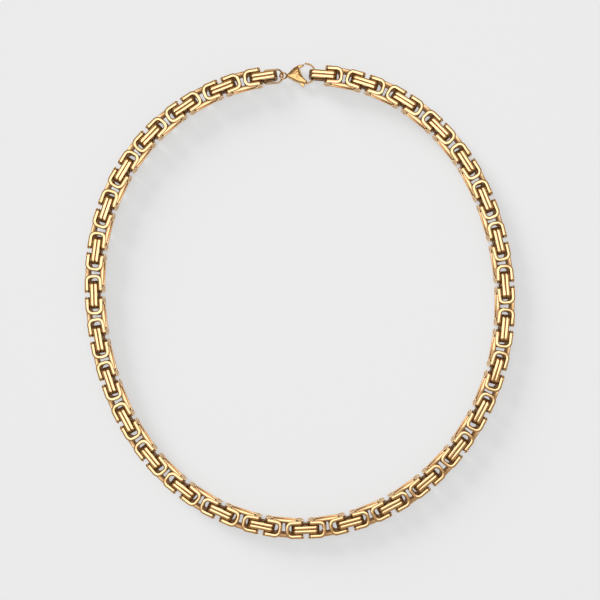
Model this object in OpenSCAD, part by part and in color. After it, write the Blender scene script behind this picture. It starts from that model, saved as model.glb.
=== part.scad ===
// Byzantine chain necklace with a lobster clasp, lying on a surface as one closed loop.
// Millimetres, +Z up, the surface at z = 0, +Y towards the clasp.
// The chain runs clockwise, seen from above, from the claw of the clasp round to its eye.
// Along it stand pairs of centre links. Between two pairs lies a knot of six links: two
// side plates on edge and four folded links, two above and two below, whose crossbars pass
// through the holes of the side plates and of the centre links.
// In a link's own frame x runs along the chain, y across it and z up from mid-height.

/* [Chain] */
// Number of times that the pattern repeats between the two end pairs
repeats = 30; // [28:1:31]
// Height of the chain as it lies
chain_h = 6.9; // [6.7:0.1:7.6]
// Room between links that lie side by side or pass through each other
link_gap = 0.2; // [0.15:0.01:0.24]

/* [Centre links] */
// Thickness of one link of a centre pair
centre_w = 1.65; // [1.5:0.05:1.7]
// Depth of its bars, seen from the side
centre_bar = 1.3; // [1.1:0.05:1.4]
// Thickness of its round ends, along the chain
centre_end = 1.2; // [1.0:0.05:1.4]
// Radius of its outer corners
centre_corner = 2.0; // [1.4:0.1:2.4]
// How much lower its top lies than the top of the folded links
centre_drop = 0.05; // [0.02:0.01:0.15]
// Open length between a centre link and the closed end of a folded link
centre_space = 0.95; // [0.8:0.05:1.1]

/* [Folded links] */
// Width of the wire, seen from above
fold_w = 1.7; // [1.5:0.05:1.8]
// Thickness of the wire, seen from the side
fold_t = 1.05; // [0.95:0.05:1.1]
// Open width between the flat arms and the centre links
fold_play = 0.35; // [0.2:0.05:0.4]
// Thickness of the legs that turn down outside the side plates
leg_w = 0.5; // [0.45:0.05:0.55]
// How far the legs stand out beyond the flat arms
leg_bulge = 0.1; // [0.05:0.05:0.2]
// Widest see-through window between the closed ends of two folded links
window = 1.5; // [1.4:0.05:1.7]
// Radius of the outer corners at the closed end
fold_corner = 2.9; // [2.7:0.1:3.0]
// Gap between the arm ends of neighbouring folded links
arm_gap = 1.25; // [1.1:0.05:1.4]
// Gap between the crossbars of the upper and the lower folded link
crossbar_gap = 0.16; // [0.12:0.01:0.2]
// Most that a folded link has slid towards the window
fold_slide = 0.3; // [0:0.05:0.35]

/* [Side plates] */
// Sideways play of a plate's thin end between the centre links and the legs
side_play = 0.5; // [0.45:0.01:0.55]
// Depth of a plate's bars, seen from the side
side_bar = 0.9; // [0.7:0.05:0.95]
// Thickness of its ends, along the chain
side_end = 0.85; // [0.7:0.05:0.9]
// How far its thick middle stands out beyond the folded links
side_bulge = 0.15; // [0.05:0.05:0.2]
// Gap between the ends of plates that follow each other
side_gap = 1.6; // [1.5:0.05:1.7]
// Most that a centre pair has slid along the chain
centre_slide = 0.4; // [0:0.05:0.5]
// Most that the pattern has crept along the chain, forward on one side and back on the other
creep = 1.1; // [0:0.1:1.2]

/* [End link] */
// Diameter of the wire of the pear-shaped end link
link_wire = 0.8; // [0.7:0.05:0.85]
// Half width at its wide end, to the middle of the wire
link_half_w = 3.0; // [2.95:0.05:3.1]
// Radius of the corners at its wide end, to the middle of the wire
link_corner = 0.9; // [0.8:0.05:1.2]
// Radius of the bends where it narrows, to the middle of the wire
link_shoulder = 2.4; // [2.2:0.1:2.6]
// Radius of its narrow end, to the middle of the wire
link_end_r = 1.8; // [1.6:0.05:1.9]
// Angle that it is rolled to one side
link_roll = 35; // [33:1:36]
// Open length between its wire and the wire of the clasp's eye
link_play = 0.45; // [0.4:0.01:0.5]

/* [Clasp] */
// Radius of the claw's outer edge
claw_r = 4.7; // [4.6:0.05:4.8]
// Width of the claw, seen from above
claw_w = 0.8; // [0.7:0.05:0.85]
// Thickness of the claw
claw_t = 1.3; // [1.1:0.05:1.4]
// Radius of the rounded body
body_r = 3.75; // [3.6:0.05:3.9]
// Thickness of the body at its middle
body_t = 4.0; // [3.8:0.1:4.2]
// Thickness of the body at its rim
body_rim = 2.7; // [2.6:0.1:3.0]
// Radius of the eye, to the middle of its wire
eye_r = 1.45; // [1.4:0.05:1.5]
// Diameter of the eye's wire
eye_wire = 0.8; // [0.7:0.05:0.85]
// Angle that the eye is rolled to the other side than the end link
eye_roll = 14; // [12:1:16]
// Thickness of the lever
lever_t = 1.2; // [1.0:0.05:1.3]
// Width of the lever's edge that shows beside the body
lever_edge = 0.55; // [0.4:0.05:0.6]
// Radius of the pivot pin
pin_r = 0.55; // [0.45:0.05:0.65]
// Running clearance of the lever in its slot
lever_gap = 0.12; // [0.1:0.01:0.15]
// Running clearance round the pin
pin_gap = 0.05; // [0.04:0.01:0.08]

/* [Hidden] */
$fn = 48;
gold = [0.85, 0.68, 0.36];

// Route of the chain, clockwise from before the first centre pair to past the last one
ROUTE = [
    [-7.4, 96.6], [9.8, 99.9], [30, 95.7], [46.9, 87.4], [61.1, 75.6], [72.6, 61.1],
    [81.2, 44.2], [86.9, 25.7], [89.6, 6.6], [89.1, -12.5], [85.4, -31.2], [78.3, -48.9],
    [67.9, -65], [54.5, -78.8], [38.6, -89.5], [20.7, -96.5], [1.8, -99.3], [-17.3, -97.6],
    [-35.5, -91.5], [-51.8, -81.4], [-65.4, -68], [-76, -52.3], [-83.5, -34.9], [-88.3, -16.4],
    [-90.4, 2.8], [-89.6, 22], [-85.4, 40.6], [-77.7, 57.6], [-66.7, 72.4], [-52.8, 84.5],
    [-36.2, 93.6], [-16.4, 99.1], [1.2, 97.4]
];

// Middle of the necklace's outline on the route's plane, which becomes the origin
MIDDLE = [-0.35, 1.27];

// The chain begins at the route's second point and ends at its last but one, with one span of
// the route for each repeat as drawn. The loop grows with the repeats, while its two ends stay
// where the clasp joins them.
SPANS = len(ROUTE) - 3;
count = round(repeats);
grow = count / SPANS;
between = (ROUTE[1] + ROUTE[len(ROUTE) - 2]) / 2;
route = [for (i = [0 : len(ROUTE) - 1])
    i < 2 || i > SPANS ? ROUTE[i] : between + grow * (ROUTE[i] - between)];
middle = between + grow * (MIDDLE - between);

// Steps of the finely sampled route between two of its points
FINE = 12;

// Place on the route between point i and the next one, t from 0 to 1
function blend(i, t) =
    let (a = route[i - 1], b = route[i], c = route[i + 1], d = route[i + 2])
    0.5 * (2 * b + (c - a) * t + (2 * a - 5 * b + 4 * c - d) * t * t
        + (3 * b - a - 3 * c + d) * t * t * t);

fine = [for (k = [0 : FINE * SPANS])
    k == FINE * SPANS ? route[SPANS + 1] : blend(1 + floor(k / FINE), (k % FINE) / FINE)];
walked = [for (k = 0, s = 0; k < len(fine);
    s = s + (k + 1 < len(fine) ? norm(fine[k + 1] - fine[k]) : 0), k = k + 1) s];
walk_x = [for (k = [0 : len(fine) - 1]) [walked[k], fine[k][0]]];
walk_y = [for (k = [0 : len(fine) - 1]) [walked[k], fine[k][1]]];

// Places along the chain are counted in half pitches: centre pairs at even ones, knots at odd ones
last = 2 * count;
half_pitch = walked[len(walked) - 1] / last;
function unit(v) = v / norm(v);
function step(j) = j * half_pitch - creep * sin(360 * j / last);
function place(j) =
    j < 0 ? place(0) + j * half_pitch * unit(route[2] - route[0])
        : j > last ? place(last) + (j - last) * half_pitch
            * unit(route[len(route) - 1] - route[len(route) - 3])
        : [lookup(step(j), walk_x), lookup(step(j), walk_y)];
function heading_of(v) = atan2(v[1], v[0]);
function heading(j) = heading_of(place(j + 1) - place(j - 1));
function ahead(j) = [cos(heading(j)), sin(heading(j))];

// Uneven lie of the links: a share from 0 to 1 that differs from place to place
function share(j, k) = 0.5 + 0.5 * sin(137 * j + 83 * k);

// Heights, measured from the middle of the chain
mid_z = chain_h / 2;
centre_top = mid_z - centre_drop;
fold_r = (mid_z - crossbar_gap / 2) / 2;
fold_under = mid_z - fold_t;
side_top = fold_under - link_gap;
side_hole = side_top - side_bar;

// Sideways places, measured from the chain's middle line
centre_side = link_gap / 2 + centre_w;
arm_in = centre_side + fold_play;
arm_out = arm_in + fold_w;
leg_out = arm_out + leg_bulge;
leg_in = leg_out - leg_w;
side_in = centre_side + side_play;
side_thin = leg_in - side_play;
side_out = arm_out + side_bulge;

// Places along the chain, measured from the middle of a knot
closed_out = window / 2;
closed_in = closed_out + fold_w;
centre_near = closed_in + centre_space;
knuckle_x = half_pitch - arm_gap / 2 - fold_r;
crossbar_x = knuckle_x - fold_t;
side_far = half_pitch - side_gap / 2;
side_hole_x = side_far - side_end;
centre_half = half_pitch - centre_near;

// The thick middle of a side plate stays clear of the legs, also where the chain bends most
BEND = 8;
side_thick_x = crossbar_x - fold_slide - link_gap - leg_out * sin(BEND);
side_end_top = side_top - link_gap;

// Each end of a side plate is held beside a centre pair, this far from the pair's middle
hold = half_pitch - (centre_near + side_far) / 2;
function held(j, way) = place(j + way) - way * hold * ahead(j + way);

// Round corners of the holes, and of the thin ends of the side plates
centre_hole_corner = 0.6;
side_hole_corner = 0.25;
side_corner = 1.2;

// The flat arms widen to the legs over this length, and keep that width down to this angle
flare = 1.4;
arm_wrap = 45;

// How far a cut runs past what it cuts
CUT = 1;

// A rectangle about the origin with round corners
module rounded(x, y, r) {
    square([2 * x, 2 * y - 2 * r], center = true);
    square([2 * x - 2 * r, 2 * y], center = true);
    for (sx = [-1, 1], sy = [-1, 1])
        translate([sx * (x - r), sy * (y - r)]) circle(r);
}

// A bar that begins round at x = near and runs square to x = far
module half_slot(near, far, y, r) {
    translate([near, r - y]) square([far - near, 2 * y - 2 * r]);
    translate([near + r, -y]) square([far - near - r, 2 * y]);
    for (sy = [-1, 1])
        translate([near + r, sy * (y - r)]) circle(r);
}

// Stands a flat outline on edge and makes it thick across the chain, from y = a to y = b
module across(a, b) {
    translate([0, b, 0]) rotate([90, 0, 0]) linear_extrude(b - a) children();
}

// One link of a centre pair, on the left (side 1) or right (side -1) of the middle line
module centre_link(side) {
    edge = side > 0 ? link_gap / 2 : -centre_side;
    across(edge, edge + centre_w) difference() {
        rounded(centre_half, centre_top, centre_corner);
        rounded(centre_half - centre_end, centre_top - centre_bar, centre_hole_corner);
    }
}

// One side plate: thin round ends that the folded links reach round, and a thick middle
module side_plate(side) {
    thin_edge = side > 0 ? side_in : -side_thin;
    thick_edge = side > 0 ? side_in : -side_out;
    difference() {
        union() {
            across(thin_edge, thin_edge + side_thin - side_in)
                rounded(side_far, side_end_top, side_corner);
            across(thick_edge, thick_edge + side_out - side_in)
                square([2 * side_thick_x, 2 * side_top], center = true);
        }
        across(-side_out - CUT, side_out + CUT)
            rounded(side_hole_x, side_hole, side_hole_corner);
    }
}

// Part of the knuckle's ring, down to an angle below the flat arm
module knuckle(angle) {
    wide = fold_r + CUT;
    difference() {
        circle(fold_r);
        circle(fold_r - fold_t);
        translate([-wide, -wide]) square([wide, 2 * wide]);
        rotate(90 - angle) translate([-wide, -wide]) square([2 * wide, wide]);
    }
}

// One upper folded link, its closed end towards the window and its arms towards +x
module folded_link() {
    translate([0, 0, fold_under]) linear_extrude(fold_t) difference() {
        union() {
            half_slot(closed_out, knuckle_x, arm_out, fold_corner);
            polygon([
                [knuckle_x - flare, arm_out], [knuckle_x, leg_out],
                [knuckle_x, -leg_out], [knuckle_x - flare, -arm_out]
            ]);
        }
        half_slot(closed_in, knuckle_x + CUT, arm_in, fold_corner - fold_w);
    }
    for (side = [-1, 1]) {
        arm_edge = side > 0 ? arm_in : -leg_out;
        leg_edge = side > 0 ? leg_in : -leg_out;
        translate([knuckle_x, 0, mid_z - fold_r]) {
            across(arm_edge, arm_edge + leg_out - arm_in) knuckle(arm_wrap);
            across(leg_edge, leg_edge + leg_w) knuckle(180);
        }
    }
    translate([crossbar_x, -leg_out, crossbar_gap / 2]) cube([fold_t, 2 * leg_out, fold_t]);
}

// Puts a piece at a point of the route's plane and at height z
module at_point(p, z) {
    translate([p[0] - middle[0], p[1] - middle[1], z]) children();
}

// Puts a piece at place j of the chain, along its heading
module along(j) {
    at_point(place(j), mid_z) rotate(heading(j)) children();
}

// The pair of centre links at an even place
module centre_pair(j) {
    slide = j == 0 || j == last ? 0 : centre_slide * (2 * share(j, 0) - 1);
    along(j) translate([slide, 0, 0]) {
        centre_link(1);
        centre_link(-1);
    }
}

// The two side plates of the knot at an odd place, from one centre pair to the next
module side_pair(j) {
    from = held(j, -1);
    to = held(j, 1);
    at_point((from + to) / 2, mid_z) rotate(heading_of(to - from)) {
        side_plate(1);
        side_plate(-1);
    }
}

// The two folded links, above and below, between the knot at place j and the pair at j + way
module folded_pair(j, way) {
    reach = norm(place(j + way) - place(j));
    along(j + way) translate([-way * reach, 0, 0])
        for (level = [0, 1]) {
            slide = fold_slide * share(j + way, 2 + level);
            mirror([0, 0, level]) mirror([way > 0 ? 0 : 1, 0, 0])
                translate([-slide, 0, 0]) folded_link();
        }
}

module chain(first, final) {
    color(gold) for (j = [first : final])
        if (j % 2 == 0) {
            centre_pair(j);
        } else {
            side_pair(j);
            folded_pair(j, -1);
            folded_pair(j, 1);
        }
}

module chain_right() {
    chain(0, count);
}

module chain_left() {
    chain(count + 1, last);
}

// Round wire bent to a closed convex loop about the stops, listed anticlockwise as [x, y, radius].
// The straight runs are a trace thinner than the bends and lap into them.
STOP_R = 2;
THINNER = 0.02;
LAP = 0.05;
module wire_loop(stops, wire) {
    bends = len(stops);
    function at(i) = [stops[(i + bends) % bends][0], stops[(i + bends) % bends][1]];
    function radius(i) = stops[(i + bends) % bends][STOP_R];
    function leave(i) = let (v = at(i + 1) - at(i))
        heading_of(v) - acos((radius(i) - radius(i + 1)) / norm(v));
    function out(a) = [cos(a), sin(a)];
    for (i = [0 : bends - 1]) {
        start = leave(i - 1);
        sweep = ((leave(i) - start) % 360 + 360) % 360;
        translate(at(i)) rotate(start)
            rotate_extrude(angle = sweep) translate([radius(i), 0]) circle(wire / 2);
        from = at(i) + radius(i) * out(leave(i));
        to = at(i + 1) + radius(i + 1) * out(leave(i));
        translate(from) rotate(heading_of(to - from)) rotate([0, 90, 0]) translate([0, 0, -LAP])
            cylinder(h = norm(to - from) + 2 * LAP, r = wire / 2 - THINNER);
    }
}

// The middle of the clasp's claw, and the eye measured from it
clasp_at = [2.2, 101.15];
clasp_z = centre_drop + centre_bar + link_gap + claw_t / 2;
eye_at = [-9.9, -1.0];

// The end link passes through the holes of the last centre pair and slopes down to the eye
link_from = side_thin * sin(BEND) - side_gap / 2 + link_wire / 2 + 2 * link_gap;
link_begin = place(last) + link_from * ahead(last);
link_way = clasp_at + eye_at - link_begin;
link_slope = atan2(mid_z - clasp_z, norm(link_way));
eye_room = (link_wire + eye_wire) / 2 + link_play;
link_l = norm([norm(link_way), mid_z - clasp_z]) + eye_room - eye_r;
shoulder_x = centre_half - link_from - link_gap;
link_stops = [
    [link_corner, link_corner - link_half_w, link_corner],
    [shoulder_x, link_shoulder - link_half_w, link_shoulder],
    [link_l - link_end_r, 0, link_end_r],
    [shoulder_x, link_half_w - link_shoulder, link_shoulder],
    [link_corner, link_half_w - link_corner, link_corner]
];

module end_link() {
    color(gold) at_point(link_begin, mid_z)
        rotate([0, link_slope, heading_of(link_way)]) rotate([link_roll, 0, 0])
            wire_loop(link_stops, link_wire);
}

// A flat bar between two round ends of different radius
module taper(p, q) {
    way = [q[0] - p[0], q[1] - p[1]];
    lean = acos((p[STOP_R] - q[STOP_R]) / norm(way));
    function edge(c, side) = let (a = heading_of(way) + side * lean)
        [c[0] + c[STOP_R] * cos(a), c[1] + c[STOP_R] * sin(a)];
    for (c = [p, q])
        translate([c[0], c[1]]) circle(c[STOP_R]);
    polygon([edge(p, 1), edge(p, -1), edge(q, -1), edge(q, 1)]);
}

// Places on the clasp, measured from the middle of its claw, as [x, y] or [x, y, radius]
body_at = [-3.7, -0.6];
nose = [-7.0, -1.1, 1.05];
nose_tip = [-8.1, -1.0, 0.55];
back = [-4.9, -0.3, body_r - 1.65];
crown = [-3.3, 0.8, body_r - 1.45];
belly = [-3.2, -2.15, body_r - 1.9];
root = [0.2, -4.12, 0.62];
claw_from = -0.43;
seam_left = [-3.25, 4.4];
seam_r = 13;
seam_at = seam_left + [seam_r, 0];
pivot = [-3.7, -2.0];
hub = [pivot[0], pivot[1], 1.4];
horn_root = [-3.2, 2.75, 0.85];
horn_tip = [-0.95, 3.58, 0.33];
edge_low = [-1.75, -3.75, 1.1];
lug = [-1.1, -5.5, 0.6];
slot_from = -5.6;
lever_foot = -3;

// The two faces of the body are parts of spheres, this much higher at the middle than at the rim
lens_rise = (body_t - body_rim) / 2;
lens_r = (body_r * body_r + lens_rise * lens_rise) / (2 * lens_rise);

// How deep the ends of the pin lie in the body
pin_inset = 0.1;

module at_clasp() {
    at_point(clasp_at, clasp_z) children();
}

// A plate about the clasp's middle plane, of half thickness z
module plate(z) {
    translate([0, 0, -z]) linear_extrude(2 * z) children();
}

module claw() {
    plate(claw_t / 2) difference() {
        circle(claw_r);
        circle(claw_r - claw_w);
        translate([claw_from - 2 * claw_r, -2 * claw_r]) square([2 * claw_r, 4 * claw_r]);
    }
}

module cheeks() {
    intersection() {
        plate(body_t / 2) {
            difference() {
                union() {
                    taper(nose, nose_tip);
                    taper(back, nose);
                    taper(crown, back);
                    taper(belly, nose);
                    taper(crown, belly);
                }
                translate(seam_at) circle(seam_r);
            }
            taper(belly, root);
        }
        for (side = [-1, 1])
            translate([body_at[0], body_at[1], side * (lens_r - body_t / 2)]) sphere(lens_r);
    }
}

module clasp_body() {
    color(gold) at_clasp() {
        difference() {
            union() {
                cheeks();
                claw();
            }
            translate([slot_from, -2 * claw_r, -lever_t / 2 - lever_gap])
                cube([claw_from - slot_from, 4 * claw_r, lever_t + 2 * lever_gap]);
            translate([pivot[0], pivot[1], -body_t]) cylinder(h = 2 * body_t, r = pin_r + pin_gap);
        }
        translate(eye_at) rotate([0, link_slope, heading_of(link_way)]) rotate([-eye_roll, 0, 0])
            rotate_extrude() translate([eye_r, 0]) circle(eye_wire / 2);
    }
}

module clasp_lever() {
    color(gold) at_clasp() difference() {
        plate(lever_t / 2) {
            difference() {
                union() {
                    taper(horn_root, hub);
                    taper(horn_root, edge_low);
                    taper(hub, edge_low);
                    taper(edge_low, lug);
                }
                translate(seam_at) circle(seam_r - lever_edge);
                translate([claw_from - lever_gap, lever_foot - claw_r]) square(claw_r);
            }
            taper(horn_root, horn_tip);
        }
        translate([pivot[0], pivot[1], -body_t]) cylinder(h = 2 * body_t, r = pin_r + pin_gap);
    }
}

module clasp_pin() {
    color(gold) at_clasp() translate([pivot[0], pivot[1], pin_inset - body_t / 2])
        cylinder(h = body_t - 2 * pin_inset, r = pin_r);
}

chain_right();
chain_left();
end_link();
clasp_body();
clasp_lever();
clasp_pin();
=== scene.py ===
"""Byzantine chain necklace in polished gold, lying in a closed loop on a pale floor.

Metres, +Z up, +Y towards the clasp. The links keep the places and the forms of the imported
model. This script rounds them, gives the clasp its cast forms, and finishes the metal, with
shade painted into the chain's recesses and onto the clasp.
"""
import math
import random

import bmesh
import bpy
from mathutils import Matrix, Vector


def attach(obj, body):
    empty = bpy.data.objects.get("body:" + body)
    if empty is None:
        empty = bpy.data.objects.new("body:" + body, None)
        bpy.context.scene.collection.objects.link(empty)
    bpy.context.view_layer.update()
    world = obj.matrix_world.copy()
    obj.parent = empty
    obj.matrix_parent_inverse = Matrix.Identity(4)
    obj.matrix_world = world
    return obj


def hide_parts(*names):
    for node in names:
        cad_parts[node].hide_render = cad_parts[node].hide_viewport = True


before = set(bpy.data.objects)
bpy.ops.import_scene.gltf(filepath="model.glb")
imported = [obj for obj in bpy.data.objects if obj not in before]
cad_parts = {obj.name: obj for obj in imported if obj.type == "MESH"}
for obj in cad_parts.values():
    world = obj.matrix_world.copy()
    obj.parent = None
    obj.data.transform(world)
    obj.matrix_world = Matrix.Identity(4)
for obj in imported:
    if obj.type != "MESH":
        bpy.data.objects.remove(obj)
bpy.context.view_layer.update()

MM = 0.001
CHAIN = ("chain_right", "chain_left")
UPRIGHT, ACROSS = (0, 0, 1), (0, 1, 0)

# Layers that the Bevel modifier and the materials read
EDGE_LAYER = "bevel_weight_edge"
VERTEX_LAYERS = ("tone", "recess")

# Vertices nearer than this are one, faces flatter than this are one, edges sharper are rounded
WELD = 0.002 * MM
FLAT = math.radians(1.5)
SHARP = math.radians(35)

# The same closing distance for meshes that are still in millimetres
WELD_FINE = 0.001


# ---------------------------------------------------------------------------
# Mesh helpers

def new_piece():
    """An empty bmesh with the layers that the modifier and the materials read."""
    bm = bmesh.new()
    bm.edges.layers.float.new(EDGE_LAYER)
    for name in VERTEX_LAYERS:
        bm.verts.layers.float.new(name)
    return bm


def merged_copy(nodes):
    """The solids of these nodes as one bmesh with closed seams and plain flat faces."""
    bm = new_piece()
    for node in nodes:
        bm.from_mesh(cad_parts[node].data)
    bmesh.ops.remove_doubles(bm, verts=bm.verts, dist=WELD)
    bmesh.ops.dissolve_limit(bm, angle_limit=FLAT, use_dissolve_boundaries=False,
                             verts=bm.verts, edges=bm.edges)
    return bm


def islands(bm):
    """Lists of the vertices that belong together, one list for each loose solid."""
    seen = set()
    found = []
    for start in bm.verts:
        if start in seen:
            continue
        seen.add(start)
        members = [start]
        for v in members:
            for e in v.link_edges:
                other = e.other_vert(v)
                if other not in seen:
                    seen.add(other)
                    members.append(other)
        found.append(members)
    return found


def heights(members):
    """Lowest and highest point of a list of vertices, in millimetres."""
    z = [v.co.z / MM for v in members]
    return min(z), max(z)


def linked(name, data):
    """A new object of the scene with this data."""
    thing = bpy.data.objects.new(name, data)
    bpy.context.scene.collection.objects.link(thing)
    return thing


def piece_from(bm, name, body, material):
    """A finished object from a bmesh, smooth shaded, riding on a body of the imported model."""
    mesh = bpy.data.meshes.new(name)
    bm.to_mesh(mesh)
    bm.free()
    mesh.shade_smooth()
    mesh.materials.append(material)
    piece = linked(name, mesh)
    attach(piece, body)
    return piece


def round_edges(piece, width, segments):
    """Rounds the edges that carry a weight, and keeps the flats between them flat."""
    bevel = piece.modifiers.new("rounded_edges", "BEVEL")
    bevel.limit_method = "WEIGHT"
    bevel.width = width * MM
    bevel.segments = segments
    bevel.use_clamp_overlap = False
    bevel.harden_normals = True


def weigh_edges(bm, edges, weight_of):
    """Gives each sharp outer edge the weight that weight_of says for its middle."""
    layer = bm.edges.layers.float[EDGE_LAYER]
    for e in edges:
        if e.calc_face_angle_signed(0.0) > SHARP:
            e[layer] = weight_of((e.verts[0].co + e.verts[1].co) / 2)


def give_tones(bm, groups, seed):
    """Each loose link gets a tone from 0 to 1, which its material reads."""
    lots = random.Random(seed)
    layer = bm.verts.layers.float["tone"]
    for members in groups:
        tone = lots.random()
        for v in members:
            v[layer] = tone


def give_recesses(bm):
    """Marks each vertex from 0 to 1 by how deep inside the chain it lies."""
    layer = bm.verts.layers.float["recess"]
    for v in bm.verts:
        v[layer] = min(1.0, max(0.0, (RECESS_OUT - side_of(v.co)) / (RECESS_OUT - RECESS_IN)))


# ---------------------------------------------------------------------------
# Materials

COLOUR, NUMBER = "NodeSocketColor", "NodeSocketFloat"

PALE_GOLD = (1.0, 0.73, 0.43, 1.0)
DEEP_GOLD = (0.95, 0.64, 0.32, 1.0)
# Brown painted into the chain's recesses as shade
SHADE_BROWN = (0.17, 0.07, 0.018, 1.0)
# Darker copies of the gold for the clasp and its small parts: painted shade, for the dim room
# that they mirror
CAST_SHADED_PALE = (0.86, 0.58, 0.27, 1.0)
CAST_SHADED_DEEP = (0.42, 0.23, 0.07, 1.0)
SMALL_SHADED_PALE = (0.85, 0.58, 0.29, 1.0)
SMALL_SHADED_DEEP = (0.55, 0.33, 0.13, 1.0)

# Sizes are the scales of the textures: a larger number makes a finer pattern. Each edge is
# where a pattern starts and where it is full
DENT_SIZE, DENT_EDGE = 1500.0, (0.1, 0.6)
HAIR_SIZE, HAIR_EDGE = 900.0, (0.58, 0.72)
HAIR_LEAN, HAIR_STRETCH = (0.3, 0.2, 0.6), (1.0, 14.0, 3.0)
# The patches of the shade painted into the recesses, and where it starts and is full
PATCH_SIZE, PATCHY, SHADE_EDGE, SHADE_FADE = 450.0, 0.4, (0.4, 1.0), (-0.0002, 0.0004)

# How much the clouds decide between pale and deep gold; the tone of the link decides the rest
CLOUD_SHARE = 0.6

# What the painted shade, clouds and scuffs add to the roughness
DULL_SHADE, DULL_CLOUD, DULL_SCUFF = 0.2, 0.07, 0.12


def group_of(name, inputs, outputs):
    """An empty node group with named sockets, its input node and its output node."""
    group = bpy.data.node_groups.new(name, "ShaderNodeTree")
    for label, kind, value in inputs:
        socket = group.interface.new_socket(label, in_out="INPUT", socket_type=kind)
        socket.default_value = value
    for label, kind in outputs:
        group.interface.new_socket(label, in_out="OUTPUT", socket_type=kind)
    return group, group.nodes.new("NodeGroupInput"), group.nodes.new("NodeGroupOutput")


def add(tree, kind, **values):
    """A node with its named inputs and settings filled in."""
    node = tree.nodes.new(kind)
    for key, value in values.items():
        if key in node.inputs:
            node.inputs[key].default_value = value
        else:
            setattr(node, key, value)
    return node


def mix_colours(tree, factor, a, b):
    """Result socket of a colour mix between two sockets."""
    node = add(tree, "ShaderNodeMix", data_type="RGBA")
    tree.links.new(factor, node.inputs[0])
    tree.links.new(a, node.inputs[6])
    tree.links.new(b, node.inputs[7])
    return node.outputs[2]


def math_of(tree, operation, a, b=None):
    """Result socket of a sum, product or other operation on sockets or plain numbers."""
    node = add(tree, "ShaderNodeMath", operation=operation)
    for index, value in enumerate((a, b)):
        if value is None:
            continue
        if isinstance(value, (int, float)):
            node.inputs[index].default_value = value
        else:
            tree.links.new(value, node.inputs[index])
    return node.outputs[0]


def ramp(tree, value, low, high):
    """0 where the value is at low, 1 at high, smooth between."""
    node = add(tree, "ShaderNodeMapRange", interpolation_type="SMOOTHSTEP")
    node.inputs["From Min"].default_value = low
    node.inputs["From Max"].default_value = high
    tree.links.new(value, node.inputs["Value"])
    return node.outputs["Result"]


def noise(tree, place, scale, detail, rough):
    """Factor socket of a noise texture."""
    node = add(tree, "ShaderNodeTexNoise", Scale=scale, Detail=detail, Roughness=rough)
    tree.links.new(place, node.inputs["Vector"])
    return node.outputs["Fac"]


def tumbled_polish():
    """Ripples, small dents and hairline scratches that tumbling leaves on polished metal."""
    group, given, out = group_of(
        "tumbled_polish",
        [("Ripple size", NUMBER, 700.0), ("Ripple", NUMBER, 0.5),
         ("Dents", NUMBER, 0.3), ("Scratches", NUMBER, 0.1)],
        [("Height", NUMBER), ("Scuffs", NUMBER)])
    place = add(group, "ShaderNodeTexCoord").outputs["Object"]
    ripple = add(group, "ShaderNodeTexNoise", Detail=2.0, Roughness=0.5)
    group.links.new(place, ripple.inputs["Vector"])
    group.links.new(given.outputs["Ripple size"], ripple.inputs["Scale"])
    dents = add(group, "ShaderNodeTexVoronoi", Scale=DENT_SIZE, feature="SMOOTH_F1")
    group.links.new(place, dents.inputs["Vector"])
    dent = ramp(group, dents.outputs["Distance"], *DENT_EDGE)
    lean = add(group, "ShaderNodeMapping")
    lean.inputs["Rotation"].default_value = HAIR_LEAN
    lean.inputs["Scale"].default_value = HAIR_STRETCH
    group.links.new(place, lean.inputs["Vector"])
    hairs = noise(group, lean.outputs["Vector"], HAIR_SIZE, 2.0, 0.6)
    scratch = ramp(group, hairs, *HAIR_EDGE)
    height = math_of(group, "MULTIPLY", ripple.outputs["Fac"], given.outputs["Ripple"])
    height = math_of(group, "ADD", height, math_of(
        group, "MULTIPLY", dent, given.outputs["Dents"]))
    height = math_of(group, "SUBTRACT", height, math_of(
        group, "MULTIPLY", scratch, given.outputs["Scratches"]))
    group.links.new(height, out.inputs["Height"])
    group.links.new(scratch, out.inputs["Scuffs"])
    return group


def gold_tones():
    """Gold that differs a little from link to link and from place to place."""
    group, given, out = group_of(
        "gold_tones",
        [("Pale", COLOUR, (1.0, 0.8, 0.5, 1.0)), ("Deep", COLOUR, (0.95, 0.65, 0.3, 1.0)),
         ("Cloud size", NUMBER, 160.0)],
        [("Color", COLOUR), ("Cloud", NUMBER)])
    place = add(group, "ShaderNodeTexCoord").outputs["Object"]
    cloud = add(group, "ShaderNodeTexNoise", Detail=3.0, Roughness=0.6)
    group.links.new(place, cloud.inputs["Vector"])
    group.links.new(given.outputs["Cloud size"], cloud.inputs["Scale"])
    tone = add(group, "ShaderNodeAttribute", attribute_name="tone").outputs["Fac"]
    share = math_of(group, "MULTIPLY", cloud.outputs["Fac"], CLOUD_SHARE)
    share = math_of(group, "ADD", share, math_of(group, "MULTIPLY", tone, 1 - CLOUD_SHARE))
    group.links.new(mix_colours(group, share, given.outputs["Pale"], given.outputs["Deep"]),
                    out.inputs["Color"])
    group.links.new(cloud.outputs["Fac"], out.inputs["Cloud"])
    return group


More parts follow.
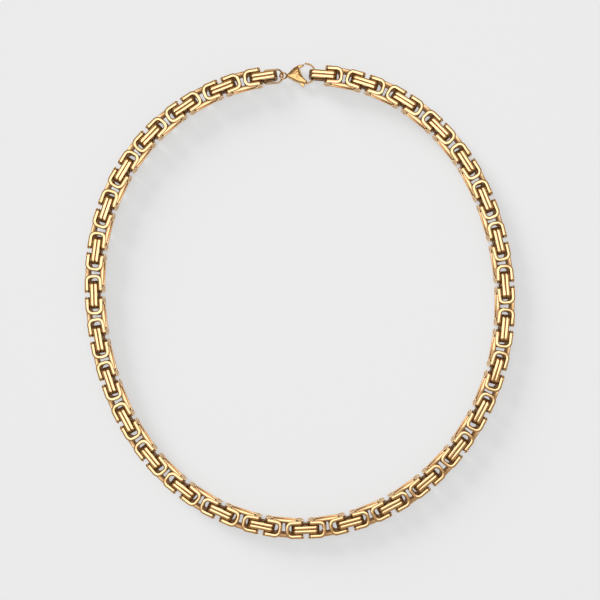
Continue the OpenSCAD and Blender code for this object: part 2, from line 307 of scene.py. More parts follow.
def recess_painted_shade():
    """Painted shade: brown on inner faces, far from the top and bottom, where the chain's
    recesses lie in shade.
    """
    group, given, out = group_of(
        "recess_painted_shade",
        [("Metal", COLOUR, (1.0, 0.8, 0.5, 1.0)), ("Shade colour", COLOUR, (0.3, 0.15, 0.06, 1.0)),
         ("Middle", NUMBER, 0.00345), ("Reach", NUMBER, 0.0031), ("Amount", NUMBER, 0.6)],
        [("Color", COLOUR), ("Mask", NUMBER)])
    place = add(group, "ShaderNodeTexCoord").outputs["Object"]
    split = add(group, "ShaderNodeSeparateXYZ")
    group.links.new(place, split.inputs["Vector"])
    away = math_of(group, "ABSOLUTE", math_of(
        group, "SUBTRACT", split.outputs["Z"], given.outputs["Middle"]))
    depth = math_of(group, "SUBTRACT", given.outputs["Reach"], away)
    inner = add(group, "ShaderNodeAttribute", attribute_name="recess").outputs["Fac"]
    cover = math_of(group, "MULTIPLY", ramp(group, depth, *SHADE_FADE), ramp(
        group, math_of(group, "ADD", inner, math_of(
            group, "MULTIPLY", noise(group, place, PATCH_SIZE, 3.0, 0.55), PATCHY)), *SHADE_EDGE))
    mask = math_of(group, "MULTIPLY", cover, given.outputs["Amount"])
    group.links.new(mix_colours(group, mask, given.outputs["Metal"], given.outputs["Shade colour"]),
                    out.inputs["Color"])
    group.links.new(mask, out.inputs["Mask"])
    return group


POLISH, TONES, RECESS_SHADE = tumbled_polish(), gold_tones(), recess_painted_shade()


def gold(name, rough, ripple, dents, scratches, painted_shade, bump=0.014, ripple_size=700.0,
         pale=PALE_GOLD, deep=DEEP_GOLD, cloud_size=160.0):
    """Polished gold with its own share of ripples, dents and scratches, and shade painted into
    its recesses.
    """
    material = bpy.data.materials.new(name)
    material.use_nodes = True
    tree = material.node_tree
    shader = tree.nodes["Principled BSDF"]
    shader.inputs["Metallic"].default_value = 1.0
    tones = add(tree, "ShaderNodeGroup", node_tree=TONES)
    tones.inputs["Pale"].default_value = pale
    tones.inputs["Deep"].default_value = deep
    tones.inputs["Cloud size"].default_value = cloud_size
    shade_node = add(tree, "ShaderNodeGroup", node_tree=RECESS_SHADE)
    shade_node.inputs["Shade colour"].default_value = SHADE_BROWN
    shade_node.inputs["Amount"].default_value = painted_shade
    polish = add(tree, "ShaderNodeGroup", node_tree=POLISH)
    polish.inputs["Ripple size"].default_value = ripple_size
    polish.inputs["Ripple"].default_value = ripple
    polish.inputs["Dents"].default_value = dents
    polish.inputs["Scratches"].default_value = scratches
    tree.links.new(tones.outputs["Color"], shade_node.inputs["Metal"])
    tree.links.new(shade_node.outputs["Color"], shader.inputs["Base Color"])
    dull = math_of(tree, "MULTIPLY", shade_node.outputs["Mask"], DULL_SHADE)
    cloudy = math_of(tree, "MULTIPLY", tones.outputs["Cloud"], DULL_CLOUD)
    scuffed = math_of(tree, "MULTIPLY", polish.outputs["Scuffs"], DULL_SCUFF)
    total = math_of(tree, "ADD", math_of(tree, "ADD", dull, cloudy), scuffed)
    tree.links.new(math_of(tree, "ADD", total, rough), shader.inputs["Roughness"])
    relief = add(tree, "ShaderNodeBump", Strength=1.0, Distance=bump * MM)
    tree.links.new(polish.outputs["Height"], relief.inputs["Height"])
    tree.links.new(relief.outputs["Normal"], shader.inputs["Normal"])
    return material


# These darker copies paint shade onto the end link, the clasp and its small parts
SMALL = {"pale": SMALL_SHADED_PALE, "deep": SMALL_SHADED_DEEP, "cloud_size": 400.0}
CAST = {"pale": CAST_SHADED_PALE, "deep": CAST_SHADED_DEEP, "cloud_size": 550.0, "ripple_size": 1100.0}
# The links get shade painted into their recesses; the clasp and its small parts get only a little
CENTRE_GOLD = gold("centre_link_gold", rough=0.08, ripple=0.5, dents=0.25, scratches=0.15,
                   painted_shade=0.85)
PLATE_GOLD = gold("side_plate_gold", rough=0.1, ripple=0.5, dents=0.25, scratches=0.12,
                  painted_shade=0.8)
FOLD_GOLD = gold("folded_link_gold", rough=0.09, ripple=0.6, dents=0.35, scratches=0.15,
                 painted_shade=0.85)
WIRE_GOLD = gold("end_link_gold", rough=0.12, ripple=0.3, dents=0.2, scratches=0.1,
                 painted_shade=0.1, **SMALL)
CAST_GOLD = gold("clasp_cast_gold", rough=0.22, ripple=1.0, dents=0.7, scratches=0.1,
                 painted_shade=0.15, bump=0.05, **CAST)
CLAW_GOLD = gold("claw_gold", rough=0.15, ripple=0.5, dents=0.3, scratches=0.2,
                 painted_shade=0.1, **SMALL)
LEVER_GOLD = gold("lever_gold", rough=0.18, ripple=0.5, dents=0.3, scratches=0.3,
                  painted_shade=0.1, **SMALL)
PIN_GOLD = gold("pin_gold", rough=0.22, ripple=0.4, dents=0.4, scratches=0.4,
                painted_shade=0.2, **SMALL)


# ---------------------------------------------------------------------------
# Links of the chain

def middle_of(members):
    """Middle of the box round a list of vertices."""
    low = Vector((min(v.co[i] for v in members) for i in range(3)))
    high = Vector((max(v.co[i] for v in members) for i in range(3)))
    return (low + high) / 2


def long_way(members):
    """Unit vector along an oblong link, seen from above."""
    x = sum(v.co.x for v in members) / len(members)
    y = sum(v.co.y for v in members) / len(members)
    xx = sum((v.co.x - x) ** 2 for v in members)
    yy = sum((v.co.y - y) ** 2 for v in members)
    xy = sum((v.co.x - x) * (v.co.y - y) for v in members)
    turn = math.atan2(2 * xy, xx - yy) / 2
    return Vector((math.cos(turn), math.sin(turn), 0.0))


def links_between(bm, low, high):
    """The loose links whose lowest and highest points are at these heights, in millimetres."""
    found = []
    for members in islands(bm):
        bottom, top = heights(members)
        if abs(bottom - low) < HEIGHT_PLAY and abs(top - high) < HEIGHT_PLAY:
            found.append(members)
    return found


def only_links(low, high):
    """A merged copy of the chain in which only the links at these heights are left."""
    bm = merged_copy(CHAIN)
    kept = {v for members in links_between(bm, low, high) for v in members}
    bmesh.ops.delete(bm, geom=[v for v in bm.verts if v not in kept], context="VERTS")
    return bm


def spine_of():
    """Middle and direction of every centre link, which the other links are lined up with."""
    bm = only_links(*CENTRE_HEIGHTS)
    spine = [(middle_of(members), long_way(members)) for members in islands(bm)]
    bm.free()
    return spine


def nearest(spine, point, beyond=0.0):
    """The entry of the spine nearest to a point, or nearest but farther off than beyond."""
    away = [((m - point).xy.length, k) for k, (m, way) in enumerate(spine)]
    return spine[min(pair for pair in away if pair[0] > beyond)[1]]


def pairs_of(spine):
    """Middle of each centre pair, with its direction and the direction across it."""
    pairs = []
    for middle, way in spine:
        partner = nearest(spine, middle, TWIN_GAP)[0]
        pairs.append(((middle + partner) / 2, way, Vector((-way.y, way.x, 0.0))))
    return pairs


def side_of(point):
    """How far a point lies from the chain's middle line, in millimetres."""
    away = [((m - point).xy.length, k) for k, (m, way, across) in enumerate(PAIRS)]
    middle, way, across = PAIRS[min(away)[1]]
    return abs((point - middle).dot(across)) / MM


def chain_piece(name, low, high, material, seed, weight_for):
    """One kind of link of both halves of the chain, with its sharp edges weighed."""
    bm = only_links(low, high)
    groups = islands(bm)
    give_tones(bm, groups, seed)
    give_recesses(bm)
    for members in groups:
        weigh_edges(bm, {e for v in members for e in v.link_edges}, weight_for(members))
    piece = piece_from(bm, name, "necklace", material)
    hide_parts(*CHAIN)
    return piece


# Lowest and highest point of each kind of link, in millimetres
CENTRE_HEIGHTS = (0.05, 6.85)
PLATE_HEIGHTS = (1.25, 5.65)
UPPER_HEIGHTS = (3.53, 6.9)
LOWER_HEIGHTS = (0.0, 3.37)
HEIGHT_PLAY = 0.1
TWIN_GAP = 0.5 * MM

# The painted shade is full up to this distance from the chain's middle line, and gone from the
# other
RECESS_IN, RECESS_OUT = 2.8, 3.7

# Widths of the rounded edges, and the share of it where two centre links face each other
CENTRE_ROUND, PLATE_ROUND, INNER_SHARE = 0.4, 0.25, 0.3

# Seeds of the tones of each kind of link
CENTRE_SEED, PLATE_SEED, UPPER_SEED, LOWER_SEED = 11, 23, 31, 47

SPINE = spine_of()
PAIRS = pairs_of(SPINE)


def centre_links():
    """Oblong links on edge, side by side; the edges that face each other are nearly sharp."""
    def weight_for(members):
        middle = middle_of(members)
        partner = nearest(SPINE, middle, TWIN_GAP)[0]
        apart = (partner - middle).normalized()

        def weight_of(point):
            return INNER_SHARE if (point - middle).dot(apart) > 0 else 1.0
        return weight_of

    piece = chain_piece("centre_links", *CENTRE_HEIGHTS, CENTRE_GOLD, CENTRE_SEED, weight_for)
    round_edges(piece, CENTRE_ROUND, 2)


def side_plates():
    """Plates on edge with thin ends and a thick middle."""
    piece = chain_piece("side_plates", *PLATE_HEIGHTS, PLATE_GOLD, PLATE_SEED,
                        lambda members: lambda point: 1.0)
    round_edges(piece, PLATE_ROUND, 2)


# ---------------------------------------------------------------------------
# Bent wire and folded links

def wire_profile(bm, wide, thick, sides):
    """An oval loop of edges in the XZ plane, about the origin."""
    made = bmesh.ops.create_circle(bm, cap_ends=False, radius=0.5, segments=sides)
    bmesh.ops.scale(bm, verts=made["verts"], vec=(wide, thick, 1.0))
    bmesh.ops.rotate(bm, verts=made["verts"], cent=(0, 0, 0), matrix=Matrix.Rotation(
        math.pi / 2, 3, "X"))
    return made["verts"]


def bar_profile(bm, wide, thick, corner):
    """A loop of edges in the XZ plane: an oblong with round corners, about the origin."""
    loop = wire_profile(bm, 2 * corner, 2 * corner, THIN_SIDES)
    bmesh.ops.rotate(bm, verts=loop, cent=(0, 0, 0), matrix=Matrix.Rotation(
        math.pi / THIN_SIDES, 3, "Y"))
    for v in loop:
        v.co.x += math.copysign(wide / 2 - corner, v.co.x)
        v.co.z += math.copysign(thick / 2 - corner, v.co.z)
    return loop


def loop_edges(bm, verts):
    """The edges between the vertices of a loop."""
    return [e for e in bm.edges if all(v in verts for v in e.verts)]


def only_verts(geom):
    """The vertices among what an operator made."""
    return [g for g in geom if isinstance(g, bmesh.types.BMVert)]


def swept(bm, verts, centre, angle, steps, axis=UPRIGHT):
    """Spins the loop of these vertices about an axis and gives back its far end."""
    made = bmesh.ops.spin(bm, geom=list(verts) + loop_edges(bm, verts), cent=centre, axis=axis,
                          dvec=(0, 0, 0), angle=angle, steps=steps, use_duplicate=False)
    return only_verts(made["geom_last"])


def pushed(bm, verts, way):
    """Extrudes the loop of these vertices straight and gives back its far end."""
    far = only_verts(bmesh.ops.extrude_edge_only(bm, edges=loop_edges(bm, verts))["geom"])
    bmesh.ops.translate(bm, verts=far, vec=way)
    return far


def capped(bm, verts):
    """Fills the open end of a bar that this loop of vertices bounds."""
    bmesh.ops.holes_fill(bm, edges=loop_edges(bm, verts))


def closed(bm):
    """Caps open ends and turns every face outward."""
    bmesh.ops.holes_fill(bm, edges=[e for e in bm.edges if e.is_boundary], sides=0)
    bmesh.ops.recalc_face_normals(bm, faces=bm.faces)


def place_on(bm, base):
    """Moves a piece from its own frame, in millimetres, to its place in metres."""
    bmesh.ops.transform(bm, matrix=Matrix.Diagonal((MM, MM, MM, 1.0)) @ base, verts=bm.verts)


def narrowed(bm, verts, share):
    """Draws a loop of vertices in towards its middle, so that a bar's end is rounded."""
    middle = sum((v.co for v in verts), Vector()) / len(verts)
    bmesh.ops.scale(bm, verts=verts, vec=(share, share, share), space=Matrix.Translation(-middle))


def rounded_end(bm, verts, share):
    """Narrows the last loop of a bar and caps it."""
    narrowed(bm, verts, share)
    capped(bm, verts)


# Sides of round wire and of bars
THIN_SIDES = 12

# Height of the chain's middle above the floor, in millimetres
CHAIN_MIDDLE = 3.45

# A folded link, measured in millimetres from the middle of its knot and of the chain's height:
# its broad arms and closed end, its knuckles, its thin legs and its lower bar
WIRE_THICK = 1.05
WIRE_TOP = CHAIN_MIDDLE - WIRE_THICK / 2
ARM_MIDDLE, ARM_WIDE, ARM_ROUND, ARM_END = 2.95, 1.7, 0.43, 0.72
CLOSED_END, CLOSED_CORNER = 1.6, 2.05
KNUCKLE, KNUCKLE_DROP, KNUCKLE_TIP = 7.264, 1.765, 8.949
ARM_WRAP, ARM_WRAP_END = math.radians(36), math.radians(8)
LEG_OUT, LEG_WIDE, LEG_ROUND, LEG_END = 3.9, 0.5, 0.2, 0.75
LEG_RUN, LEG_EASE, LEG_FLARE, LEG_SPREAD = 0.9, 0.12, 0.7, 0.05
BAR_MIDDLE, BAR_DROP, BAR_ROUND, BAR_END = 6.739, 0.605, 0.3, 0.75
BAR_REACH, BAR_EASE = LEG_OUT - LEG_WIDE / 2, 0.15
CORNER_STEPS, WRAP_STEPS, KNUCKLE_STEPS = 6, 3, 10


def folded_link():
    """A ring folded to a flat U: broad arms above, thin legs round the knuckles, a bar below."""
    bm = new_piece()
    loop = bar_profile(bm, ARM_WIDE, WIRE_THICK, ARM_ROUND)
    bmesh.ops.translate(bm, verts=loop, vec=(CLOSED_END, 0, WIRE_TOP))
    bend = (CLOSED_END + CLOSED_CORNER, ARM_MIDDLE - CLOSED_CORNER, 0)
    knuckle = (KNUCKLE, 0, KNUCKLE_DROP)
    loop = pushed(bm, loop, (0, bend[1], 0))
    loop = swept(bm, loop, bend, -math.pi / 2, CORNER_STEPS)
    loop = pushed(bm, loop, (KNUCKLE - bend[0], 0, 0))
    loop = swept(bm, loop, knuckle, ARM_WRAP, WRAP_STEPS, ACROSS)
    loop = swept(bm, loop, knuckle, ARM_WRAP_END, 1, ACROSS)
    rounded_end(bm, loop, ARM_END)

    first = bar_profile(bm, LEG_WIDE, WIRE_THICK, LEG_ROUND)
    bmesh.ops.rotate(bm, verts=first, cent=(0, 0, 0), matrix=Matrix.Rotation(
        math.pi / 2, 3, "Z"))
    bmesh.ops.translate(bm, verts=first, vec=(
        KNUCKLE - LEG_FLARE, LEG_OUT - LEG_WIDE / 2 - LEG_SPREAD, WIRE_TOP))
    loop = pushed(bm, first, (LEG_FLARE, LEG_SPREAD, 0))
    loop = swept(bm, loop, knuckle, math.pi, KNUCKLE_STEPS, ACROSS)
    loop = pushed(bm, loop, (-LEG_RUN, 0, 0))
    loop = pushed(bm, loop, (-LEG_EASE, 0, 0))
    rounded_end(bm, loop, LEG_END)
    capped(bm, first)

    loop = bar_profile(bm, WIRE_THICK, WIRE_THICK, BAR_ROUND)
    bmesh.ops.translate(bm, verts=loop, vec=(BAR_MIDDLE, 0, BAR_DROP))
    loop = pushed(bm, loop, (0, BAR_REACH, 0))
    loop = pushed(bm, loop, (0, BAR_EASE, 0))
    rounded_end(bm, loop, BAR_END)

    bmesh.ops.mirror(bm, geom=list(bm.verts) + list(bm.edges) + list(bm.faces), axis="Y",
                     merge_dist=WELD_FINE)
    bmesh.ops.recalc_face_normals(bm, faces=bm.faces)
    mesh = bpy.data.meshes.new("folded_link")
    bm.to_mesh(mesh)
    bm.free()
    return mesh


def folded_links(name, low, high, seed):
    """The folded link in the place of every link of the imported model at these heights."""
    places = only_links(low, high)
    turned = math.pi if high < CHAIN_MIDDLE else 0.0
    bm = new_piece()
    groups = []
    for members in islands(places):
        middle = middle_of(members)
        pair, way = nearest(SPINE, middle)
        if (pair - middle).dot(way) < 0:
            way = -way
        across = Vector((-way.y, way.x, 0.0))
        tip = max(v.co.dot(way) for v in members) / MM - KNUCKLE_TIP
        sides = [v.co.dot(across) / MM for v in members]
        at = way * tip + across * (min(sides) + max(sides)) / 2
        lie = Matrix.Translation((at.x, at.y, CHAIN_MIDDLE)) @ Matrix.Rotation(
            math.atan2(way.y, way.x), 4, "Z") @ Matrix.Rotation(turned, 4, "X")
        placed = len(bm.verts)
        bm.from_mesh(FOLDED_LINK)
        bm.verts.ensure_lookup_table()
        groups.append(bm.verts[placed:])
        bmesh.ops.transform(bm, matrix=lie, verts=groups[-1])
    places.free()
    place_on(bm, Matrix.Identity(4))
    give_tones(bm, groups, seed)
    give_recesses(bm)
    piece = piece_from(bm, name, "necklace", FOLD_GOLD)
    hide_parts(*CHAIN)


FOLDED_LINK = folded_link()
centre_links()
side_plates()
folded_links("folded_links_upper", *UPPER_HEIGHTS, UPPER_SEED)
folded_links("folded_links_lower", *LOWER_HEIGHTS, LOWER_SEED)
bpy.data.meshes.remove(FOLDED_LINK)


# ---------------------------------------------------------------------------
# End link and clasp

# The middle of the claw, the eye measured from it, and the lie of the end link and the eye
CLAW_AT = Vector((2.55, 99.88, 2.2))
EYE_AT = Vector((-9.9, -1.0, 0.0))
LINK_AT = Vector((-15.651, 97.89, 3.45))
LINK_HEAD, LINK_SLOPE = math.radians(6.8), math.radians(8.5)
LINK_ROLL, EYE_ROLL = math.radians(35), math.radians(-14)

# Thickness of the thin wire, the angle between its rings, and its closing distance
THIN_WIRE, WIRE_STEP, WIRE_WELD = 0.8, 0.2, 0.01

# Middle and radius of each bend of the end link's middle line
LINK_BENDS = [
    (0.9, -2.1, 0.9), (5.57, -0.6, 2.4), (6.453, 0.0, 1.8), (5.57, 0.6, 2.4), (0.9, 2.1, 0.9)
]


def lie_of(place, roll):
    """The lie of a wire ring at this place that leans as the end link does."""
    return Matrix.Translation(place) @ Matrix.Rotation(LINK_HEAD, 4, "Z") @ (
        Matrix.Rotation(LINK_SLOPE, 4, "Y") @ Matrix.Rotation(roll, 4, "X"))


def end_link_wire():
    """Round wire bent to a pear shape: a straight run between each bend and the next."""
    bm = new_piece()
    pairs = list(zip(LINK_BENDS, LINK_BENDS[1:] + LINK_BENDS[:1]))
    turns = [math.atan2(y2 - y, x2 - x) - math.acos((r - r2) / math.hypot(x2 - x, y2 - y))
             for (x, y, r), (x2, y2, r2) in pairs]
    loop = wire_profile(bm, THIN_WIRE, THIN_WIRE, THIN_SIDES)
    x, y, r = LINK_BENDS[0]
    bmesh.ops.transform(bm, verts=loop, matrix=Matrix.Translation((x, y, 0)) @ (
        Matrix.Rotation(turns[-1], 4, "Z") @ Matrix.Translation((r, 0, 0))))
    for k, ((x, y, r), (x2, y2, r2)) in enumerate(pairs):
        sweep = (turns[k] - turns[k - 1]) % (2 * math.pi)
        loop = swept(bm, loop, (x, y, 0), sweep, max(2, round(sweep / WIRE_STEP)))
        out = Vector((math.cos(turns[k]), math.sin(turns[k]), 0))
        loop = pushed(bm, loop, Vector((x2 - x, y2 - y, 0)) + (r2 - r) * out)
    bmesh.ops.remove_doubles(bm, verts=bm.verts, dist=WIRE_WELD)
    closed(bm)
    place_on(bm, lie_of(LINK_AT, LINK_ROLL))
    piece = piece_from(bm, "end_link_wire", "necklace", WIRE_GOLD)
    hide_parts("end_link")


# Outline of the clasp's body, in millimetres from the claw's middle, clockwise from the nose
BODY_OUTLINE = [
    (-8.62, -1.0), (-8.3, -0.55), (-7.6, -0.15), (-6.95, 0.6), (-6.2, 1.4), (-5.4, 2.15),
    (-4.6, 2.7), (-3.85, 3.0), (-3.25, 3.08), (-3.0, 2.3), (-2.8, 1.3), (-2.5, 0.2),
    (-2.1, -0.85), (-1.4, -1.75), (-0.6, -2.5), (0.15, -3.2), (0.62, -3.75), (0.78, -4.2),
    (0.55, -4.58), (0.0, -4.72), (-1.0, -4.55), (-2.3, -4.28), (-3.5, -3.98), (-4.6, -3.5),
    (-5.8, -2.88), (-6.9, -2.3), (-7.75, -1.86), (-8.35, -1.5)
]
BODY_MIDDLE = Vector((-3.9, -0.9, 0.0))

# Share of the outline and height of each ring of a cheek, from the slot to the top
CHEEK_RINGS = [(1.0, 0.78), (1.0, 1.02), (0.975, 1.26), (0.91, 1.46), (0.79, 1.62), (0.6, 1.74),
               (0.38, 1.82), (0.16, 1.86)]

# Half the slot's height and where it starts and ends, and the middle of the pin
SLOT_HALF, SLOT_FROM, SLOT_TO = 0.72, -5.6, -0.43
PIVOT = Vector((-3.7, -2.0, 0.0))

# The claw's middle line, wire and tip, the eye's middle line, the pin and its eased heads
CLAW_BEND, CLAW_WIDE, CLAW_THICK, CLAW_TIP = 4.3, 0.8, 1.3, 0.75
CLAW_REACH, CLAW_SIDES, CLAW_STEPS = math.radians(95.7), 16, 40
EYE_BEND, EYE_STEPS = 1.45, 32
PIN_ROUND, PIN_LONG, PIN_EASE, PIN_SIDES = 0.55, 3.8, 0.14, 32
LEVER_ROUND = 0.25


def outline_face(bm, height):
    """The body's outline as one face at this height."""
    return bm.faces.new([bm.verts.new((x, y, height)) for x, y in BODY_OUTLINE])


def cheek(bm, side):
    """One half of the body: the outline drawn up to a low dome."""
    face = outline_face(bm, SLOT_HALF)
    bmesh.ops.duplicate(bm, geom=[face])
    share, height = 1.0, SLOT_HALF
    for next_share, next_height in CHEEK_RINGS:
        made = bmesh.ops.extrude_face_region(bm, geom=[face])["geom"]
        bmesh.ops.delete(bm, geom=[face], context="FACES_ONLY")
        face = next(g for g in made if isinstance(g, bmesh.types.BMFace))
        step = next_share / share
        bmesh.ops.scale(bm, verts=face.verts, vec=(step, step, 1.0),
                        space=Matrix.Translation(-BODY_MIDDLE))
        bmesh.ops.translate(bm, verts=face.verts, vec=(0, 0, next_height - height))
        share, height = next_share, next_height
    bmesh.ops.poke(bm, faces=[face])
    if side < 0:
        bmesh.ops.scale(bm, verts=bm.verts, vec=(1, 1, -1))
        bmesh.ops.reverse_faces(bm, faces=bm.faces)


def cheek_piece(name, side):
    """A cheek with a smooth surface, on the necklace."""
    bm = new_piece()
    cheek(bm, side)
    bmesh.ops.remove_doubles(bm, verts=bm.verts, dist=WELD_FINE)
    bmesh.ops.recalc_face_normals(bm, faces=bm.faces)
    place_on(bm, Matrix.Translation(CLAW_AT))
    piece = piece_from(bm, name, "necklace", CAST_GOLD)
    smooth = piece.modifiers.new("smooth", "SUBSURF")
    smooth.levels = smooth.render_levels = 2
    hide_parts("clasp_body")


def body_blocks():
    """What joins the cheeks: the nose on one side of the slot, the claw's root on the other."""
    bm = new_piece()
    for x, keep in ((SLOT_FROM, -1), (SLOT_TO, 1)):
        half = bmesh.new()
        outline_face(half, -SLOT_HALF)
        bmesh.ops.bisect_plane(
            half, geom=list(half.verts) + list(half.edges) + list(half.faces),
            plane_co=(x, 0, 0), plane_no=(keep, 0, 0), clear_inner=True)
        made = bmesh.ops.extrude_face_region(half, geom=list(half.faces), use_keep_orig=True)
        bmesh.ops.translate(half, verts=only_verts(made["geom"]), vec=(0, 0, 2 * SLOT_HALF))
        bmesh.ops.recalc_face_normals(half, faces=half.faces)
        part = bpy.data.meshes.new("block")
        half.to_mesh(part)
        half.free()
        bm.from_mesh(part)
        bpy.data.meshes.remove(part)
    place_on(bm, Matrix.Translation(CLAW_AT))
    piece = piece_from(bm, "clasp_blocks", "necklace", CAST_GOLD)
    piece.data.shade_flat()
    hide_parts("clasp_body")


def claw_hook():
    """The fixed claw: round wire from the body's root to a blunt tip."""
    bm = new_piece()
    loop = wire_profile(bm, CLAW_WIDE, CLAW_THICK, CLAW_SIDES)
    bmesh.ops.transform(bm, verts=loop, matrix=Matrix.Rotation(-CLAW_REACH, 4, "Z") @ (
        Matrix.Translation((CLAW_BEND, 0, 0))))
    last = swept(bm, loop, (0, 0, 0), 2 * CLAW_REACH, CLAW_STEPS)
    tip = Matrix.Rotation(CLAW_REACH, 3, "Z") @ Vector((CLAW_BEND, 0, 0))
    bmesh.ops.scale(bm, verts=last, vec=(1.0, CLAW_TIP, CLAW_TIP),
                    space=Matrix.Translation(-tip))
    closed(bm)
    place_on(bm, Matrix.Translation(CLAW_AT))
    piece = piece_from(bm, "clasp_claw", "necklace", CLAW_GOLD)
    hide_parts("clasp_body")


def eye_ring():
    """The ring that the end link hangs in, a closed round wire."""
    bm = new_piece()
    loop = wire_profile(bm, THIN_WIRE, THIN_WIRE, THIN_SIDES)
    bmesh.ops.translate(bm, verts=loop, vec=(EYE_BEND, 0, 0))
    bmesh.ops.spin(bm, geom=list(loop) + loop_edges(bm, loop), cent=(0, 0, 0), axis=UPRIGHT,
                   dvec=(0, 0, 0), angle=2 * math.pi, steps=EYE_STEPS, use_merge=True,
                   use_duplicate=False)
    bmesh.ops.recalc_face_normals(bm, faces=bm.faces)
    place_on(bm, lie_of(CLAW_AT + EYE_AT, EYE_ROLL))
    piece = piece_from(bm, "clasp_eye", "necklace", CLAW_GOLD)
    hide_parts("clasp_body")


def rivet():
    """The pin with its two eased heads."""
    bm = new_piece()
    bmesh.ops.create_cone(bm, cap_ends=True, segments=PIN_SIDES, radius1=PIN_ROUND,
                          radius2=PIN_ROUND, depth=PIN_LONG)
    rims = [e for e in bm.edges if e.calc_face_angle() > SHARP]
    bmesh.ops.bevel(bm, geom=rims, offset=PIN_EASE, segments=3, profile=0.5, affect="EDGES",
                    material=-1)
    place_on(bm, Matrix.Translation(CLAW_AT + PIVOT))
    piece = piece_from(bm, "clasp_rivet", "necklace", PIN_GOLD)
    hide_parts("clasp_pin")


def lever_piece():
    """A copy of the lever with its sharp edges rounded."""
    bm = merged_copy(("clasp_lever",))
    weigh_edges(bm, bm.edges, lambda middle: 1.0)
    piece = piece_from(bm, "clasp_lever_cast", "lever", LEVER_GOLD)
    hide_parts("clasp_lever")
    round_edges(piece, LEVER_ROUND, 3)


end_link_wire()
cheek_piece("clasp_cheek_upper", 1)
cheek_piece("clasp_cheek_lower", -1)
body_blocks()
claw_hook()
eye_ring()
rivet()
lever_piece()


# ---------------------------------------------------------------------------
# Floor, light and camera

FLOOR_HALF, FLOOR_GREY, FLOOR_GLOW = 3.0, 0.19, 0.56

# The softbox: the way to its near edge, and how far out on the chain a flat facet mirrors that
# edge to the camera, which is this high above it; then how far back and how wide it reaches
BOX_WAY = Vector((0.457, -0.889, 0.0))
BOX_HEIGHT, VIEW_HEIGHT, BOX_MIRRORED = 0.6, 0.371, 0.0733
BOX_EDGE = BOX_MIRRORED * (1 + BOX_HEIGHT / VIEW_HEIGHT)
BOX_BACK, BOX_WIDE, BOX_RADIANCE = 0.32, 0.62, 1.42

# The low lamp: how wide it looks, how strong it is, how high it stands, its share of X and Y
LOW_ANGLE, LOW_ENERGY, LOW_RISE, LOW_SHARE = math.radians(24), 6.0, math.radians(20), 0.707

# The room as the metal sees it, with the heights where the ceiling starts and is full, and as
# the floor sees it
WALLS, CEILING, CEILING_EDGE = (0.11, 0.065, 0.03, 1.0), (0.45, 0.36, 0.27, 1.0), (0.4, 1.0)
PALE_ROOM = (0.5, 0.5, 0.5, 1.0)

VIEW_ANGLE, VIEW_FROM = math.radians(38.84), (0.04 * MM, -0.16 * MM, 0.378)


def floor():
    """A plain pale sheet, with a little light of its own so that shadows stay soft."""
    bm = bmesh.new()
    bmesh.ops.create_grid(bm, x_segments=1, y_segments=1, size=FLOOR_HALF)
    mesh = bpy.data.meshes.new("floor")
    bm.to_mesh(mesh)
    bm.free()
    material = bpy.data.materials.new("pale_floor")
    material.use_nodes = True
    tree = material.node_tree
    shader = tree.nodes["Principled BSDF"]
    shader.inputs["Roughness"].default_value = 0.9
    shader.inputs["Specular IOR Level"].default_value = 0.0
    shader.inputs["Base Color"].default_value = (FLOOR_GREY, FLOOR_GREY, FLOOR_GREY, 1.0)
    shader.inputs["Emission Color"].default_value = (1.0, 1.0, 1.0, 1.0)
    shader.inputs["Emission Strength"].default_value = FLOOR_GLOW
    mesh.materials.append(material)
    linked("floor", mesh)


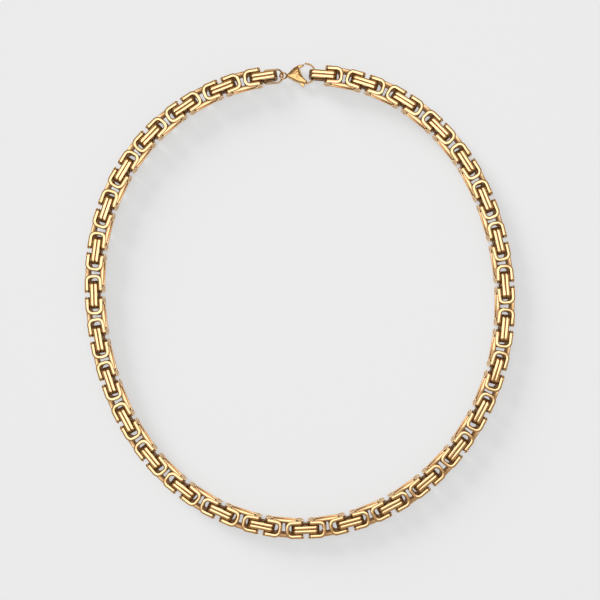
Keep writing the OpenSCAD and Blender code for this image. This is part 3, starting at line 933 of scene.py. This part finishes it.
def softbox():
    """A large white panel overhead. It ends towards the lower right, where the flats are dim."""
    lamp = bpy.data.lights.new("softbox", "AREA")
    lamp.shape = "RECTANGLE"
    lamp.size = BOX_WIDE
    lamp.size_y = BOX_EDGE + BOX_BACK
    lamp.energy = BOX_RADIANCE * math.pi * lamp.size * lamp.size_y
    panel = linked("softbox", lamp)
    middle = BOX_WAY * (BOX_EDGE - BOX_BACK) / 2
    panel.location = (middle.x, middle.y, BOX_HEIGHT)
    panel.rotation_euler = (0.0, 0.0, math.atan2(BOX_WAY.y, BOX_WAY.x) + math.pi / 2)


def low_light():
    """A weak soft lamp from the upper left, only for the shadow on the floor."""
    lamp = bpy.data.lights.new("low_light", "SUN")
    lamp.angle = LOW_ANGLE
    lamp.energy = LOW_ENERGY
    sun = linked("low_light", lamp)
    level = math.cos(LOW_RISE) * LOW_SHARE
    sun.rotation_euler = Vector((-level, level, math.sin(LOW_RISE))).to_track_quat(
        "Z", "Y").to_euler()
    sun.visible_glossy = False


def surroundings():
    """The dim warm room that the metal mirrors, darkest near the horizon; pale for the floor."""
    world = bpy.data.worlds.new("room")
    bpy.context.scene.world = world
    world.use_nodes = True
    tree = world.node_tree
    tree.nodes.clear()
    out = tree.nodes.new("ShaderNodeOutputWorld")
    split = add(tree, "ShaderNodeSeparateXYZ")
    tree.links.new(add(tree, "ShaderNodeTexCoord").outputs["Generated"], split.inputs["Vector"])
    height = ramp(tree, split.outputs["Z"], *CEILING_EDGE)
    walls = add(tree, "ShaderNodeRGB")
    walls.outputs[0].default_value = WALLS
    ceiling = add(tree, "ShaderNodeRGB")
    ceiling.outputs[0].default_value = CEILING
    dim = add(tree, "ShaderNodeBackground", Strength=1.0)
    tree.links.new(mix_colours(tree, height, walls.outputs[0], ceiling.outputs[0]),
                   dim.inputs["Color"])
    pale = add(tree, "ShaderNodeBackground", Color=PALE_ROOM, Strength=1.0)
    path = tree.nodes.new("ShaderNodeLightPath")
    choose = tree.nodes.new("ShaderNodeMixShader")
    tree.links.new(path.outputs["Is Glossy Ray"], choose.inputs["Fac"])
    tree.links.new(pale.outputs[0], choose.inputs[1])
    tree.links.new(dim.outputs[0], choose.inputs[2])
    tree.links.new(choose.outputs[0], out.inputs["Surface"])


def camera():
    """Straight above the loop, as far off as the photograph was taken."""
    data = bpy.data.cameras.new("camera")
    data.angle = VIEW_ANGLE
    eye = linked("camera", data)
    eye.location = VIEW_FROM
    bpy.context.scene.camera = eye


floor()
softbox()
low_light()
surroundings()
camera()
bpy.context.scene.view_settings.view_transform = "Standard"
